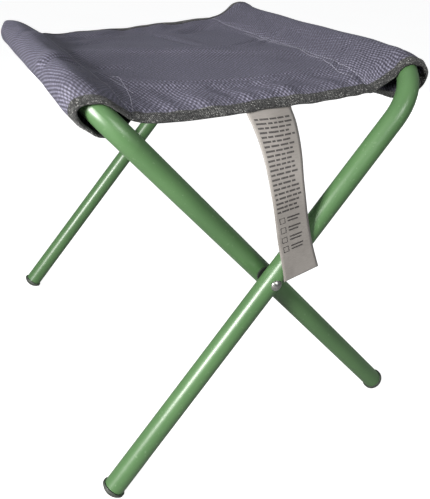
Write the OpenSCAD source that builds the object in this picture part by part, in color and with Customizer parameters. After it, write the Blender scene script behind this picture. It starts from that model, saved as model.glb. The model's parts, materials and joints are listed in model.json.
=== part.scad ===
// Folding X-frame camp stool: two U-shaped tubes riveted together as scissors,
// and one sheet of coated cloth slung between their top tubes.
// Millimetres. X runs across the fold, Y runs along the top tubes, Z is up.
// The origin is on the ground under the middle of the open stool; the front is at -Y.
// The outer U's top tube is at +X, the inner U's at -X.

/* [Frame] */
// Half the distance between the two top tubes' centrelines, stool open
half_top = 139; // [132:0.5:146]
// Half the distance between the two leg lines where they would meet the ground
half_foot = 148; // [144:2:150]
// Height of the top tubes' centrelines
top_h = 334.5; // [325:0.5:345]
// Half the depth of the outer U, to the leg centrelines
outer_half_d = 180.5; // [180.5:0.5:186]
// Half the depth of the inner U, to the leg centrelines
inner_half_d = 160.5; // [158:0.5:160.5]
// Centreline radius of the tube bends
bend_r = 50; // [44:1:54]

/* [Tube] */
// Outside diameter of the steel tube
tube_od = 18; // [17:0.5:18]
// Wall thickness of the steel tube
tube_wall = 1.2; // [1:0.1:1.5]

/* [Foot caps] */
// Diameter of the cap's flange
cap_d = 20.5; // [20:0.1:21.5]
// Height of the cap beyond the tube end
cap_h = 7; // [6:0.5:8]
// Radius of the cap's domed end
cap_dome_r = 13; // [12.5:0.5:15]
// Length of the plug inside the tube
plug_l = 18; // [12:1:24]
// Wall of the hollow plug
plug_wall = 2.2; // [1.6:0.1:3]

/* [Pivots] */
// Diameter of the rivet's shank
rivet_d = 5; // [4:0.1:5.6]
// Diameter of the rivet's domed head
rivet_head_d = 9.5; // [8.5:0.1:11]
// Diameter of the spacer washer between the tubes
spacer_d = 14; // [11:0.5:16]
// Diameter of the backing washer under the rivet's formed tail
backing_d = 12; // [10:0.5:14]
// Radial clearance of the rivet in its holes
rivet_gap = 0.05; // [0.02:0.01:0.1]

/* [Seat cloth] */
// Thickness of the cloth
cloth_t = 1.2; // [0.8:0.1:1.5]
// Half the depth of the seat cloth, without its edge binding
cloth_half_d = 145; // [135:1:145]
// Distance from the outer top tube's centreline to its sleeve's seam
outer_seam = 40; // [34:1:44]
// Distance from the inner top tube's centreline to its sleeve's seam
inner_seam = 30; // [28:1:34]
// Height of the middle of the seat
seat_h = 322; // [316:0.5:325]
// Height of the seat cloth at the two seams
seam_h = 327; // [325:0.5:327.5]
// Half the width of the flat middle of the seat
flat_half_w = 50; // [30:1:60]

/* [Binding and label] */
// Width of the edge binding over the cloth
tape_w = 6; // [5:0.5:8]
// Thickness of the folded edge binding
tape_t = 3; // [2.6:0.1:3.4]
// Width of the sewn-in label
label_w = 33; // [26:1:36]
// Height at which the label ends
label_end_h = 178; // [176:1:200]
// Thickness of the sewing thread
thread_d = 0.8; // [0.6:0.1:1]

/* [Hidden] */
$fn = 64;

tube_color = [0.37, 0.55, 0.36];
cap_color = [0.22, 0.22, 0.21];
rivet_color = [0.75, 0.75, 0.74];
spacer_color = [0.16, 0.17, 0.16];
backing_color = [0.7, 0.7, 0.7];
sheet_color = [0.34, 0.33, 0.39];
sleeve_color = [0.40, 0.39, 0.45];
tape_color = [0.27, 0.27, 0.26];
thread_color = [0.62, 0.62, 0.66];
label_color = [0.68, 0.64, 0.61];

// Sides along Y
front = -1;
back = 1;

slack = 0.1;     // clearance between fitted parts
cut_over = 1;    // how far cutters reach past what they cut

tube_r = tube_od / 2;
bore_r = tube_r - tube_wall;
lean = atan2(top_h, half_top + half_foot);    // angle of the legs above the ground
pivot_h = top_h * half_foot / (half_top + half_foot);

// Leg lengths from the pivot, up to the top tube's centreline and down to the tube end.
// The lowest point of each cap's dome touches the ground.
up_len = sqrt(half_top * half_top + pow(top_h - pivot_h, 2));
leg_down = (pivot_h - cap_dome_r) / sin(lean) + cap_dome_r - cap_h;

// Leg frames: the origin is on the pivot axis and local +X runs up the leg.
module outer_plane() translate([0, 0, pivot_h]) rotate([0, -lean, 0]) children();
module inner_plane() translate([0, 0, pivot_h]) rotate([0, lean - 180, 0]) children();

// Mirrors what is drawn for the back to the front when asked.
module to_side(side) mirror([0, side == back ? 0 : 1, 0]) children();

// ---- Tubes ----

seg_lap = 0.02;    // straight runs reach this far into the bends, so each U is one solid

// Solid round bar of the given radius bent into a U.
module u_bar(half_d, radius, foot_extra) {
    corner_x = up_len - bend_r;
    corner_y = half_d - bend_r;
    for (side = [front, back]) {
        translate([-leg_down - foot_extra, side * half_d, 0]) rotate([0, 90, 0])
            cylinder(r = radius, h = leg_down + foot_extra + corner_x + seg_lap);
        translate([corner_x, side * corner_y, 0]) rotate([0, 0, side == back ? 0 : -90])
            rotate_extrude(angle = 90) translate([bend_r, 0]) circle(r = radius);
    }
    translate([up_len, -corner_y - seg_lap, 0]) rotate([-90, 0, 0])
        cylinder(r = radius, h = 2 * (corner_y + seg_lap));
}

module u_tube(half_d) difference() {
    u_bar(half_d, tube_r, 0);
    u_bar(half_d, bore_r, cut_over);
    for (side = [front, back])
        translate([0, side * half_d - tube_r - cut_over, 0]) rotate([-90, 0, 0])
            cylinder(r = rivet_d / 2 + rivet_gap, h = tube_od + 2 * cut_over);
}

module outer_tube() color(tube_color) outer_plane() u_tube(outer_half_d);
module inner_tube() color(tube_color) inner_plane() u_tube(inner_half_d);

// ---- Foot caps ----

cap_gap = 0.05;    // between the tube end and the flange
plug_r = bore_r - slack;
cap_floor = 1;     // the plug's bore stops this far short of the tube end

// Push-in foot cap: +Z points out of the tube end, which is at Z = 0.
module foot_cap() difference() {
    union() {
        translate([0, 0, cap_gap]) intersection() {
            cylinder(r = cap_d / 2, h = cap_h - cap_gap);
            translate([0, 0, cap_h - cap_dome_r - cap_gap]) sphere(r = cap_dome_r);
        }
        // the plug reaches 1 mm into the flange to join it
        translate([0, 0, -plug_l]) cylinder(r = plug_r, h = plug_l + 1);
    }
    translate([0, 0, -plug_l - cut_over])
        cylinder(r = plug_r - plug_wall, h = plug_l + cut_over - cap_floor);
}

module leg_cap(half_d, side)
    translate([-leg_down, side * half_d, 0]) rotate([0, -90, 0]) foot_cap();

module outer_foot_cap_front() color(cap_color) outer_plane() leg_cap(outer_half_d, front);
module outer_foot_cap_back() color(cap_color) outer_plane() leg_cap(outer_half_d, back);
module inner_foot_cap_front() color(cap_color) inner_plane() leg_cap(inner_half_d, front);
module inner_foot_cap_back() color(cap_color) inner_plane() leg_cap(inner_half_d, back);

// ---- Pivots ----

backing_t = 1;
backing_y = inner_half_d - tube_r - slack - backing_t;
spacer_play = 0.4;    // total free space beside the spacer
spacer_t = outer_half_d - inner_half_d - tube_od - spacer_play;
spacer_y = (outer_half_d + inner_half_d) / 2 - spacer_t / 2;

head_top = outer_half_d + tube_r + 2.4;
head_dome_r = 6;
head_reach = 4;       // depth of the head before it is cut to the tube
head_seat_gap = 0.02;
seat_cut_l = 30;
seat_core_l = 40;
tail_y = backing_y - slack;
tail_r = 4.2;
tail_h = 2;
tail_dome_r = 5.5;

// Places children on the pivot axis: local +Z runs outward along Y.
module on_pivot(side)
    translate([0, 0, pivot_h]) to_side(side) rotate([-90, 0, 0]) children();

module rivet(side) difference() {
    on_pivot(side) union() {
        // the shank runs into both the tail and the head
        translate([0, 0, tail_y - 0.5]) cylinder(r = rivet_d / 2, h = head_top - tail_y - 1);
        intersection() {
            translate([0, 0, head_top - head_reach])
                cylinder(r = rivet_head_d / 2, h = head_reach + 1);
            translate([0, 0, head_top - head_dome_r]) sphere(r = head_dome_r);
        }
        intersection() {
            translate([0, 0, tail_y - tail_h]) cylinder(r = tail_r, h = tail_h);
            translate([0, 0, tail_y - tail_h + tail_dome_r]) sphere(r = tail_dome_r);
        }
    }
    // the head is set down onto the round tube; the shank is spared
    outer_plane() difference() {
        translate([-seat_cut_l / 2, side * outer_half_d, 0]) rotate([0, 90, 0])
            cylinder(r = tube_r + head_seat_gap, h = seat_cut_l);
        translate([0, side * outer_half_d - seat_core_l / 2, 0]) rotate([-90, 0, 0])
            cylinder(r = rivet_d / 2, h = seat_core_l);
    }
}

module washer(diameter, thickness) difference() {
    cylinder(r = diameter / 2, h = thickness);
    translate([0, 0, -cut_over])
        cylinder(r = rivet_d / 2 + rivet_gap, h = thickness + 2 * cut_over);
}
module spacer(side) on_pivot(side) translate([0, 0, spacer_y]) washer(spacer_d, spacer_t);
module backing(side) on_pivot(side) translate([0, 0, backing_y]) washer(backing_d, backing_t);

module rivet_front() color(rivet_color) rivet(front);
module rivet_back() color(rivet_color) rivet(back);
module spacer_washer_front() color(spacer_color) spacer(front);
module spacer_washer_back() color(spacer_color) spacer(back);
module backing_washer_front() color(backing_color) backing(front);
module backing_washer_back() color(backing_color) backing(back);

// ---- Seat profiles, drawn in X and Z and run along Y ----

module along_y(y0, y1)
    translate([0, y1, 0]) rotate([90, 0, 0]) linear_extrude(height = y1 - y0) children();

outer_seam_x = half_top - outer_seam;
inner_seam_x = -half_top + inner_seam;
seam_over = 3.5;      // the cloth runs this far past a seam, towards the tube
tail_w = 8;           // width of the inner sleeve's flat tail
tail_lift = 0.4;      // height of the tail's underside above the seam height
sleeve_in = tube_r + 0.4;
sleeve_out = sleeve_in + cloth_t;

outer_centre = [half_top, top_h];
inner_centre = [-half_top, top_h];
outer_point = [outer_seam_x, seam_h - cloth_t / 2];
inner_point = [inner_seam_x, seam_h + tail_lift + cloth_t / 2];

// Start and end angles of the sleeve parts that run on past the full sleeves
outer_arc = [-15, 105];
inner_arc = [180 - outer_arc[1], 180 - outer_arc[0]];

// Half lengths along Y: full sleeves stop short of the tube bends.
bend_clear = 2;
outer_straight = outer_half_d - bend_r - bend_clear;
inner_straight = inner_half_d - bend_r - bend_clear;
sleeve_end = cloth_half_d + 5;

function polar(radius, angle) = radius * [cos(angle), sin(angle)];

// Sleeve section: a teardrop round the tube, with its sewn point at seam_point.
module drop_ring(centre, seam_point) {
    reach = seam_point - centre;
    heading = atan2(reach[1], reach[0]);
    tangent = acos(sleeve_out / norm(reach));
    difference() {
        union() {
            translate(centre) circle(r = sleeve_out);
            polygon([
                centre, centre + polar(sleeve_out, heading - tangent),
                seam_point, centre + polar(sleeve_out, heading + tangent)]);
        }
        translate(centre) circle(r = sleeve_in);
    }
}

// Ring sector between two radii; arc is [start, end] in degrees.
module arc_strip(centre, r_in, r_out, arc) difference() {
    intersection() {
        translate(centre) circle(r = r_out);
        // fan reaching well outside the ring
        polygon([centre, for (i = [0 : 4])
            centre + polar(3 * r_out, arc[0] + (arc[1] - arc[0]) * i / 4)]);
    }
    translate(centre) circle(r = r_in);
}

// Every strip along the sheet uses the same steps, so strips laid on each other
// keep an even gap.
sheet_steps = 24;
sheet_start = inner_seam_x + 5;
sheet_end = outer_seam_x + seam_over;
inner_rise_x = inner_seam_x + 12;    // the cloth reaches seam height here

// Smooth step from 0 to 1.
function rise(t) = t <= 0 ? 0 : t >= 1 ? 1 : t * t * (3 - 2 * t);

// Height of the top face of the slung cloth at x.
function sheet_z(x) = seat_h + (seam_h - seat_h) *
    (x > 0 ? rise((x - flat_half_w) / (outer_seam_x - flat_half_w))
           : rise((-x - flat_half_w) / (-inner_rise_x - flat_half_w)));

// Strip from `up` above the cloth's top face to `down` below it, lengthened by
// `extra` at both ends.
module sheet_strip(up, down, extra = 0) {
    function step_x(i) = sheet_start + (sheet_end - sheet_start) * i / sheet_steps;
    function end_shift(i) = i == 0 ? -extra : i == sheet_steps ? extra : 0;
    function edge_point(i, shift) = [step_x(i) + end_shift(i), sheet_z(step_x(i)) + shift];
    polygon(concat(
        [for (i = [0 : sheet_steps]) edge_point(i, up)],
        [for (i = [sheet_steps : -1 : 0]) edge_point(i, -down)]));
}

// ---- Seat cloth ----

tape_gap = 0.1;    // between the folded tape and the cloth inside it
tape_out_y = cloth_half_d + tape_t / 2;
tape_in_y = tape_out_y - tape_w;

// The slung seat cloth with the sleeve sewn round the outer top tube.
module seat_sheet() color(sheet_color) union() {
    along_y(-tape_in_y + tape_gap, tape_in_y - tape_gap) sheet_strip(0, cloth_t);
    // the cloth is nipped where the tape is sewn over its edges
    along_y(-cloth_half_d, cloth_half_d) sheet_strip(-tape_gap, cloth_t - tape_gap);
    along_y(-outer_straight, outer_straight) drop_ring(outer_centre, outer_point);
    along_y(-sleeve_end, sleeve_end) arc_strip(outer_centre, sleeve_in, sleeve_out, outer_arc);
}

// The sleeve round the inner top tube; its flat tail ends just short of the seat cloth.
module inner_sleeve() color(sleeve_color) union() {
    along_y(-inner_straight, inner_straight) {
        drop_ring(inner_centre, inner_point);
        translate([inner_seam_x - seam_over, seam_h + tail_lift]) square([tail_w, cloth_t]);
    }
    along_y(-sleeve_end, sleeve_end) arc_strip(inner_centre, sleeve_in, sleeve_out, inner_arc);
}

// ---- Binding ----

// Folded tape along the cloth's front or back edge.
module edge_binding(side) to_side(side) difference() {
    along_y(tape_in_y, tape_out_y) sheet_strip((tape_t - cloth_t) / 2, (tape_t + cloth_t) / 2);
    along_y(tape_in_y - cut_over, cloth_half_d + tape_gap) sheet_strip(0, cloth_t, cut_over);
}
module front_edge_binding() color(tape_color) edge_binding(front);
module back_edge_binding() color(tape_color) edge_binding(back);

// Tape over both ends of a sleeve.
sleeve_tape_end = sleeve_end + 1.5;
sleeve_tape_out = sleeve_out + 1;
module sleeve_tape(centre, arc)
    for (side = [front, back]) to_side(side)
        along_y(sleeve_tape_end - tape_w, sleeve_tape_end)
            arc_strip(centre, sleeve_out + slack, sleeve_tape_out, arc);
module outer_sleeve_end_bindings() color(tape_color) sleeve_tape(outer_centre, outer_arc);
module inner_sleeve_end_bindings() color(tape_color) sleeve_tape(inner_centre, inner_arc);

// ---- Seam threads, just above the cloth ----

thread_inset = 1;          // thread ends short of the tape or the sleeve's end
outer_thread_shift = 6;    // from the outer seam towards the seat's middle

module seam_thread(x, cloth_top, half_length)
    translate([x, -half_length, cloth_top + thread_d / 2 + slack]) rotate([-90, 0, 0])
        cylinder(r = thread_d / 2, h = 2 * half_length);
module outer_seam_thread() color(thread_color)
    seam_thread(outer_seam_x - outer_thread_shift, seam_h, cloth_half_d - tape_w - thread_inset);
module inner_seam_thread() color(thread_color)
    seam_thread(inner_seam_x, seam_h + tail_lift + cloth_t, inner_straight - thread_inset);

// ---- Label ----

label_x = 24;
label_t = 0.4;
label_tilt = 9;
label_gap = 0.4;    // below the edge binding
label_top_h = seat_h - (tape_t + cloth_t) / 2 - label_gap - label_w / 2 * sin(label_tilt);
label_out_y = outer_half_d + tube_r + 0.9;

// Front face of the label from top to bottom: [y, z]
label_line = [
    [-cloth_half_d + 1, label_top_h],
    [-cloth_half_d - 2, label_top_h - 10],
    [-label_out_y, label_top_h - 70],
    [-label_out_y, label_end_h + 2]];

// Label hanging from the front edge and lying over the outer leg.
module care_label() color(label_color)
    translate([label_x, 0, label_end_h]) rotate([0, -label_tilt, 0])
        translate([-label_w / 2, 0, -label_end_h])
            rotate([90, 0, 90]) linear_extrude(height = label_w)
                polygon(concat(label_line, [for (i = [3 : -1 : 0]) label_line[i] + [label_t, 0]]));

outer_tube();
inner_tube();
outer_foot_cap_front();
outer_foot_cap_back();
inner_foot_cap_front();
inner_foot_cap_back();
rivet_front();
rivet_back();
spacer_washer_front();
spacer_washer_back();
backing_washer_front();
backing_washer_back();
seat_sheet();
inner_sleeve();
front_edge_binding();
back_edge_binding();
outer_sleeve_end_bindings();
inner_sleeve_end_bindings();
outer_seam_thread();
inner_seam_thread();
care_label();
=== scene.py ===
"""A folding stool: two U-shaped steel tubes that cross at a pivot, with a cloth seat sewn round both.

The stool stands on z = 0. X runs from the inner frame's top tube (-X) to the outer frame's (+X),
and both top tubes run along Y. The front, where the label hangs, is at -Y.
Geometry is worked out in millimetres and turned into metres when a mesh is made.
"""
import json
import math

import bpy
import numpy as np
from mathutils import Matrix, Vector


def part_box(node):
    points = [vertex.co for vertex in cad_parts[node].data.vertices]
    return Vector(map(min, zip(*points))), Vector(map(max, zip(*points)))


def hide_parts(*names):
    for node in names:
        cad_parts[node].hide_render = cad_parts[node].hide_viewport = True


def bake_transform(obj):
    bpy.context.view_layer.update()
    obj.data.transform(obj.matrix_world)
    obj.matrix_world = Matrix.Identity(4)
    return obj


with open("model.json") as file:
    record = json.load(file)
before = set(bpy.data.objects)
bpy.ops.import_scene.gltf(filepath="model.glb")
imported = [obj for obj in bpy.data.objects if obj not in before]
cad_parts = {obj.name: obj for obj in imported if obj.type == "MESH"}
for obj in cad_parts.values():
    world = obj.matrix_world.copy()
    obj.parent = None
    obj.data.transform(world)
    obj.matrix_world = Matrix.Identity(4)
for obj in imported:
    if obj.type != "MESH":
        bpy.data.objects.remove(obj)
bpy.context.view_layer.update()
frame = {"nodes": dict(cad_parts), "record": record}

# ---------------------------------------------------------------- sizes of the frame (mm)
joints = {joint["name"]: joint for joint in frame["record"]["behaviour"]["joints"]}
PIVOT_Z = joints["frame_fold"]["pos_m"][2] * 1000
TOP_X = joints["seat_swing"]["pos_m"][0] * 1000
TOP_Z = joints["seat_swing"]["pos_m"][2] * 1000
outer_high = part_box("outer_tube")[1]
inner_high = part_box("inner_tube")[1]
TUBE_R = outer_high.z * 1000 - TOP_Z
OUTER_HALF_Y = outer_high.y * 1000 - TUBE_R
INNER_HALF_Y = inner_high.y * 1000 - TUBE_R
BEND_R = 50.0
LEG_BELOW_PIVOT = 200
LEG_ABOVE_PIVOT = math.hypot(TOP_X, TOP_Z - PIVOT_Z)
LEAN = math.atan2(TOP_Z - PIVOT_Z, TOP_X)

# ---------------------------------------------------------------- sizes of the seat (mm)
HALF_DEPTH = 156.0         # nominal half-depth of the cloth, front to back
PANEL_HALF_DEPTH = 155.3   # the same for the panel between the seams
CLOTH_THICKNESS = 0.9
CLOTH_GAP = 0.8            # between the tube and the middle of the cloth
TAPE_GAP = 1.0             # added to the gap under the edge binding


# ---------------------------------------------------------------- numeric helpers
def smooth(t):
    t = np.clip(t, 0, 1)
    return t * t * (3 - 2 * t)


def unit(vectors):
    return vectors / np.maximum(np.linalg.norm(vectors, axis=-1, keepdims=True), 1e-9)


def lengths_along(points):
    """Distance travelled along a polyline at each of its points."""
    steps = np.linalg.norm(np.diff(points, axis=0), axis=1)
    return np.concatenate([[0], np.cumsum(steps)])


def sample(at, lengths, points):
    """Points of a polyline at the given distances along it."""
    return np.stack([np.interp(at, lengths, column) for column in points.T], -1)


def split_index(position, count):
    """Whole and fractional parts of a position among count samples."""
    position = np.clip(position, 0, count - 1.001)
    return int(position), position - int(position)


def catmull(controls, per_span):
    """Uniform Catmull-Rom curve through rows of controls, per_span samples to a span."""
    before = (2 * controls[0] - controls[1])[None]
    after = (2 * controls[-1] - controls[-2])[None]
    c = np.concatenate([before, controls, after])
    spans = len(controls) - 1
    curve = []
    for i in range(spans):
        p0, p1, p2, p3 = c[i:i + 4]
        stop = per_span if i < spans - 1 else per_span + 1
        t = np.linspace(0, 1, per_span + 1)[:stop]
        t = t.reshape((-1,) + (1,) * (controls.ndim - 1))
        curve.append(0.5 * (2 * p1 + (p2 - p0) * t + (2 * p0 - 5 * p1 + 4 * p2 - p3) * t ** 2
                            + (3 * p1 - p0 - 3 * p2 + p3) * t ** 3))
    return np.concatenate(curve)


def interp(x, stations, values):
    """Cubic interpolation that doesn't overshoot between stations, and is level past the ends."""
    x, stations, values = (np.asarray(a, float) for a in (x, stations, values))
    rise = np.diff(values) / np.diff(stations)
    product = rise[:-1] * rise[1:]
    slope = np.zeros(len(stations))
    slope[1:-1] = np.where(product > 0, 2 * product / (rise[:-1] + rise[1:] + 1e-12), 0)
    slope[0], slope[-1] = rise[0], rise[-1]
    i = np.clip(np.searchsorted(stations, x) - 1, 0, len(stations) - 2)
    span = stations[i + 1] - stations[i]
    t = np.clip((x - stations[i]) / span, 0, 1)
    return (
        (2 * t ** 3 - 3 * t ** 2 + 1) * values[i]
        + (t ** 3 - 2 * t ** 2 + t) * span * slope[i]
        + (-2 * t ** 3 + 3 * t ** 2) * values[i + 1]
        + (t ** 3 - t ** 2) * span * slope[i + 1]
    )


# ---------------------------------------------------------------- keeping clear of the tubes
def centreline(side, half_y):
    """A U tube's centreline as a dense polyline; side is +1 where its top tube is at +X."""
    bend_start = LEG_ABOVE_PIVOT - BEND_R
    points = [(along, -half_y) for along in np.linspace(-LEG_BELOW_PIVOT, bend_start, 160)]
    points += [(bend_start + BEND_R * math.sin(a), -(half_y - BEND_R) - BEND_R * math.cos(a))
               for a in np.linspace(0, math.pi / 2, 40)[1:]]
    mirrored = [(along, -y) for along, y in points[::-1]]
    points += [(LEG_ABOVE_PIVOT, y)
               for y in np.linspace(-(half_y - BEND_R), half_y - BEND_R, 100)[1:]]
    along, y = np.array(points + mirrored[1:]).T
    return np.stack([side * along * math.cos(LEAN), y, PIVOT_Z + along * math.sin(LEAN)], 1)


CENTRELINES = [centreline(1, OUTER_HALF_Y), centreline(-1, INNER_HALF_Y)]


def push_out(points, clearance):
    """Moves points away from the centrelines until each has its clearance."""
    reach, chunk_size = 30, 4000
    moved = points.reshape(-1, 3).copy()
    need = np.broadcast_to(clearance, points.shape[:-1]).reshape(-1)
    for line in CENTRELINES:
        start, step = line[:-1], np.diff(line, axis=0)
        step_squared = (step ** 2).sum(1)
        in_box = (moved > line.min(0) - reach) & (moved < line.max(0) + reach)
        close = np.where(in_box.all(1))[0]
        for first in range(0, len(close), chunk_size):
            chunk = close[first:first + chunk_size]
            here = moved[chunk][:, None]
            share = np.clip(((here - start) * step).sum(2) / step_squared, 0, 1)
            nearest = start + share[..., None] * step
            distance = np.linalg.norm(here - nearest, axis=2)
            rows, best = np.arange(len(chunk)), distance.argmin(1)
            distance, nearest = distance[rows, best], nearest[rows, best]
            bad = distance < need[chunk]
            inside = chunk[bad]
            away = (moved[inside] - nearest[bad]) / np.maximum(distance[bad], 1e-6)[:, None]
            moved[inside] = nearest[bad] + away * need[inside][:, None]
    return moved.reshape(points.shape)


# ---------------------------------------------------------------- mesh helpers
def mesh_object(name, verts, faces, uvs=None, material=None, smooth_shade=True):
    """Makes an object from vertices in mm and, where given, a UV pair for each vertex."""
    mesh = bpy.data.meshes.new(name)
    mesh.from_pydata([tuple(v) for v in np.asarray(verts) / 1000.0], [],
                     [tuple(int(i) for i in face) for face in faces])
    if uvs is not None:
        layer = mesh.uv_layers.new(name="UVMap")
        loops = np.zeros(len(mesh.loops), np.int32)
        mesh.loops.foreach_get("vertex_index", loops)
        layer.data.foreach_set("uv", np.asarray(uvs, np.float32)[loops].ravel())
    mesh.validate()
    mesh.update()
    if smooth_shade:
        mesh.polygons.foreach_set("use_smooth", [True] * len(mesh.polygons))
    obj = bpy.data.objects.new(name, mesh)
    bpy.context.scene.collection.objects.link(obj)
    if material:
        mesh.materials.append(material)
    return obj


def fit_to_frame(obj, replaced=()):
    """Hides the CAD pieces that obj replaces, and bakes obj's transform into its mesh."""
    if replaced:
        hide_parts(*replaced)
    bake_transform(obj)


def grid_faces(rows, cols, offset=0, flip=False, closed=False):
    """Quads of a grid of vertices; closed joins the last column to the first."""
    faces = []
    for i in range(rows - 1):
        for j in range(cols if closed else cols - 1):
            row, next_row = offset + i * cols, offset + (i + 1) * cols
            k = (j + 1) % cols
            a, b, c, d = row + j, next_row + j, next_row + k, row + k
            faces.append((a, d, c, b) if flip else (a, b, c, d))
    return faces


def slab(middle, normal, thickness, flip=False):
    """Thickens a grid of points: the face on the normal's side, all vertices, and the faces."""
    rows, cols = middle.shape[:2]
    layer = rows * cols
    face = middle + normal * thickness / 2
    reverse = middle - normal * thickness / 2
    verts = np.concatenate([face.reshape(-1, 3), reverse.reshape(-1, 3)])

    def wall(a, b):
        return (a, a + layer, b + layer, b)

    rim = []
    for i in range(rows - 1):
        a, b = i * cols, (i + 1) * cols
        rim += [wall(a, b), wall(b + cols - 1, a + cols - 1)]
    last = layer - cols
    for j in range(cols - 1):
        rim += [wall(j + 1, j), wall(last + j, last + j + 1)]
    if flip:
        rim = [quad[::-1] for quad in rim]
    faces = grid_faces(rows, cols, flip=flip) + grid_faces(rows, cols, layer, flip=not flip)
    return face, verts, faces + rim


# ---------------------------------------------------------------- the cloth's sections (mm)
# Each sleeve loop has 13 controls, from its seam's lower layer, round the tube and back.
# "middle": (x, z) of each control where the sleeve is even from front to back.
# "even": how far that part reaches to the front and to the back.
# "front", "back": three places of each control towards that edge, the last on the free edge,
# as (x, y, z) with y counted outwards.
INNER_LOOP = {
    "middle": [
        (-109, 327.6), (-117, 325.6), (-126, 323.3), (-135, 321.4), (-143.2, 322.0),
        (-149.0, 326.2), (-151.0, 333.0), (-149.2, 339.6), (-144.2, 343.8), (-137.2, 345.0),
        (-129.5, 342.6), (-120, 336.8), (-109, 330.4)],
    "even": (92.0, 96.0),
    "front": [
        [(-107.5, 136, 320.5), (-104.6, 144, 316.2), (-104.0, 150.5, 313.2)],
        [(-116.5, 136, 312.0), (-113.5, 143, 306.5), (-113.5, 149.0, 302.8)],
        [(-128.5, 136, 307.2), (-126.0, 143, 304.0), (-125.5, 149.0, 302.6)],
        [(-138.8, 137, 310.4), (-137.5, 145, 309.8), (-134.0, 151.5, 309.0)],
        [(-144.9, 137, 316.8), (-144.0, 147, 317.2), (-140.0, 154.0, 315.0)],
        [(-149.0, 137, 323.3), (-146.8, 148, 322.0), (-142.6, 155.5, 319.6)],
        [(-149.6, 137, 331.0), (-145.6, 149, 328.0), (-143.0, 156.2, 324.8)],
        [(-146.6, 137, 336.8), (-142.6, 149, 331.7), (-140.2, 156.8, 327.9)],
        [(-141.0, 137, 339.7), (-137.5, 149, 333.7), (-135.0, 157.2, 329.2)],
        [(-133.5, 137, 339.2), (-130.5, 149, 333.3), (-128.0, 157.2, 329.2)],
        [(-126.0, 137, 335.8), (-122.5, 149, 330.2), (-121.0, 157.2, 327.2)],
        [(-117.0, 137, 329.6), (-113.2, 149, 323.2), (-112.8, 156.6, 321.4)],
        [(-107.0, 137, 323.2), (-104.2, 149, 317.6), (-104.2, 155.8, 314.4)]],
    "back": [
        [(-108.0, 135, 325.5), (-107.0, 144, 321.5), (-106.5, 150.0, 319.5)],
        [(-116.0, 135, 318.0), (-115.0, 143, 312.0), (-115.0, 149.5, 307.5)],
        [(-127.5, 135, 311.8), (-127.0, 143, 307.0), (-126.5, 149.5, 304.5)],
        [(-137.5, 135, 313.5), (-136.5, 144, 311.5), (-135.0, 151.0, 310.0)],
        [(-142.5, 135, 318.8), (-140.0, 146, 316.5), (-137.2, 153.0, 315.5)],
        [(-146.6, 135, 324.4), (-144.0, 147, 322.2), (-141.0, 154.5, 321.2)],
        [(-147.6, 135, 331.6), (-144.4, 148, 329.2), (-141.2, 155.5, 328.2)],
        [(-145.4, 135, 338.0), (-142.2, 148, 334.4), (-139.0, 156.0, 333.0)],
        [(-142.0, 135, 342.0), (-138.6, 148, 338.0), (-135.6, 156.5, 335.6)],
        [(-134.5, 135, 341.6), (-130.5, 148, 337.4), (-128.6, 156.5, 335.2)],
        [(-127.0, 135, 338.4), (-122.6, 148, 334.4), (-121.0, 156.5, 332.8)],
        [(-118.0, 135, 333.0), (-114.6, 148, 329.6), (-113.4, 156.0, 328.2)],
        [(-107.6, 135, 327.4), (-106.5, 148, 325.0), (-106.0, 155.5, 324.0)]],
}
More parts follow.
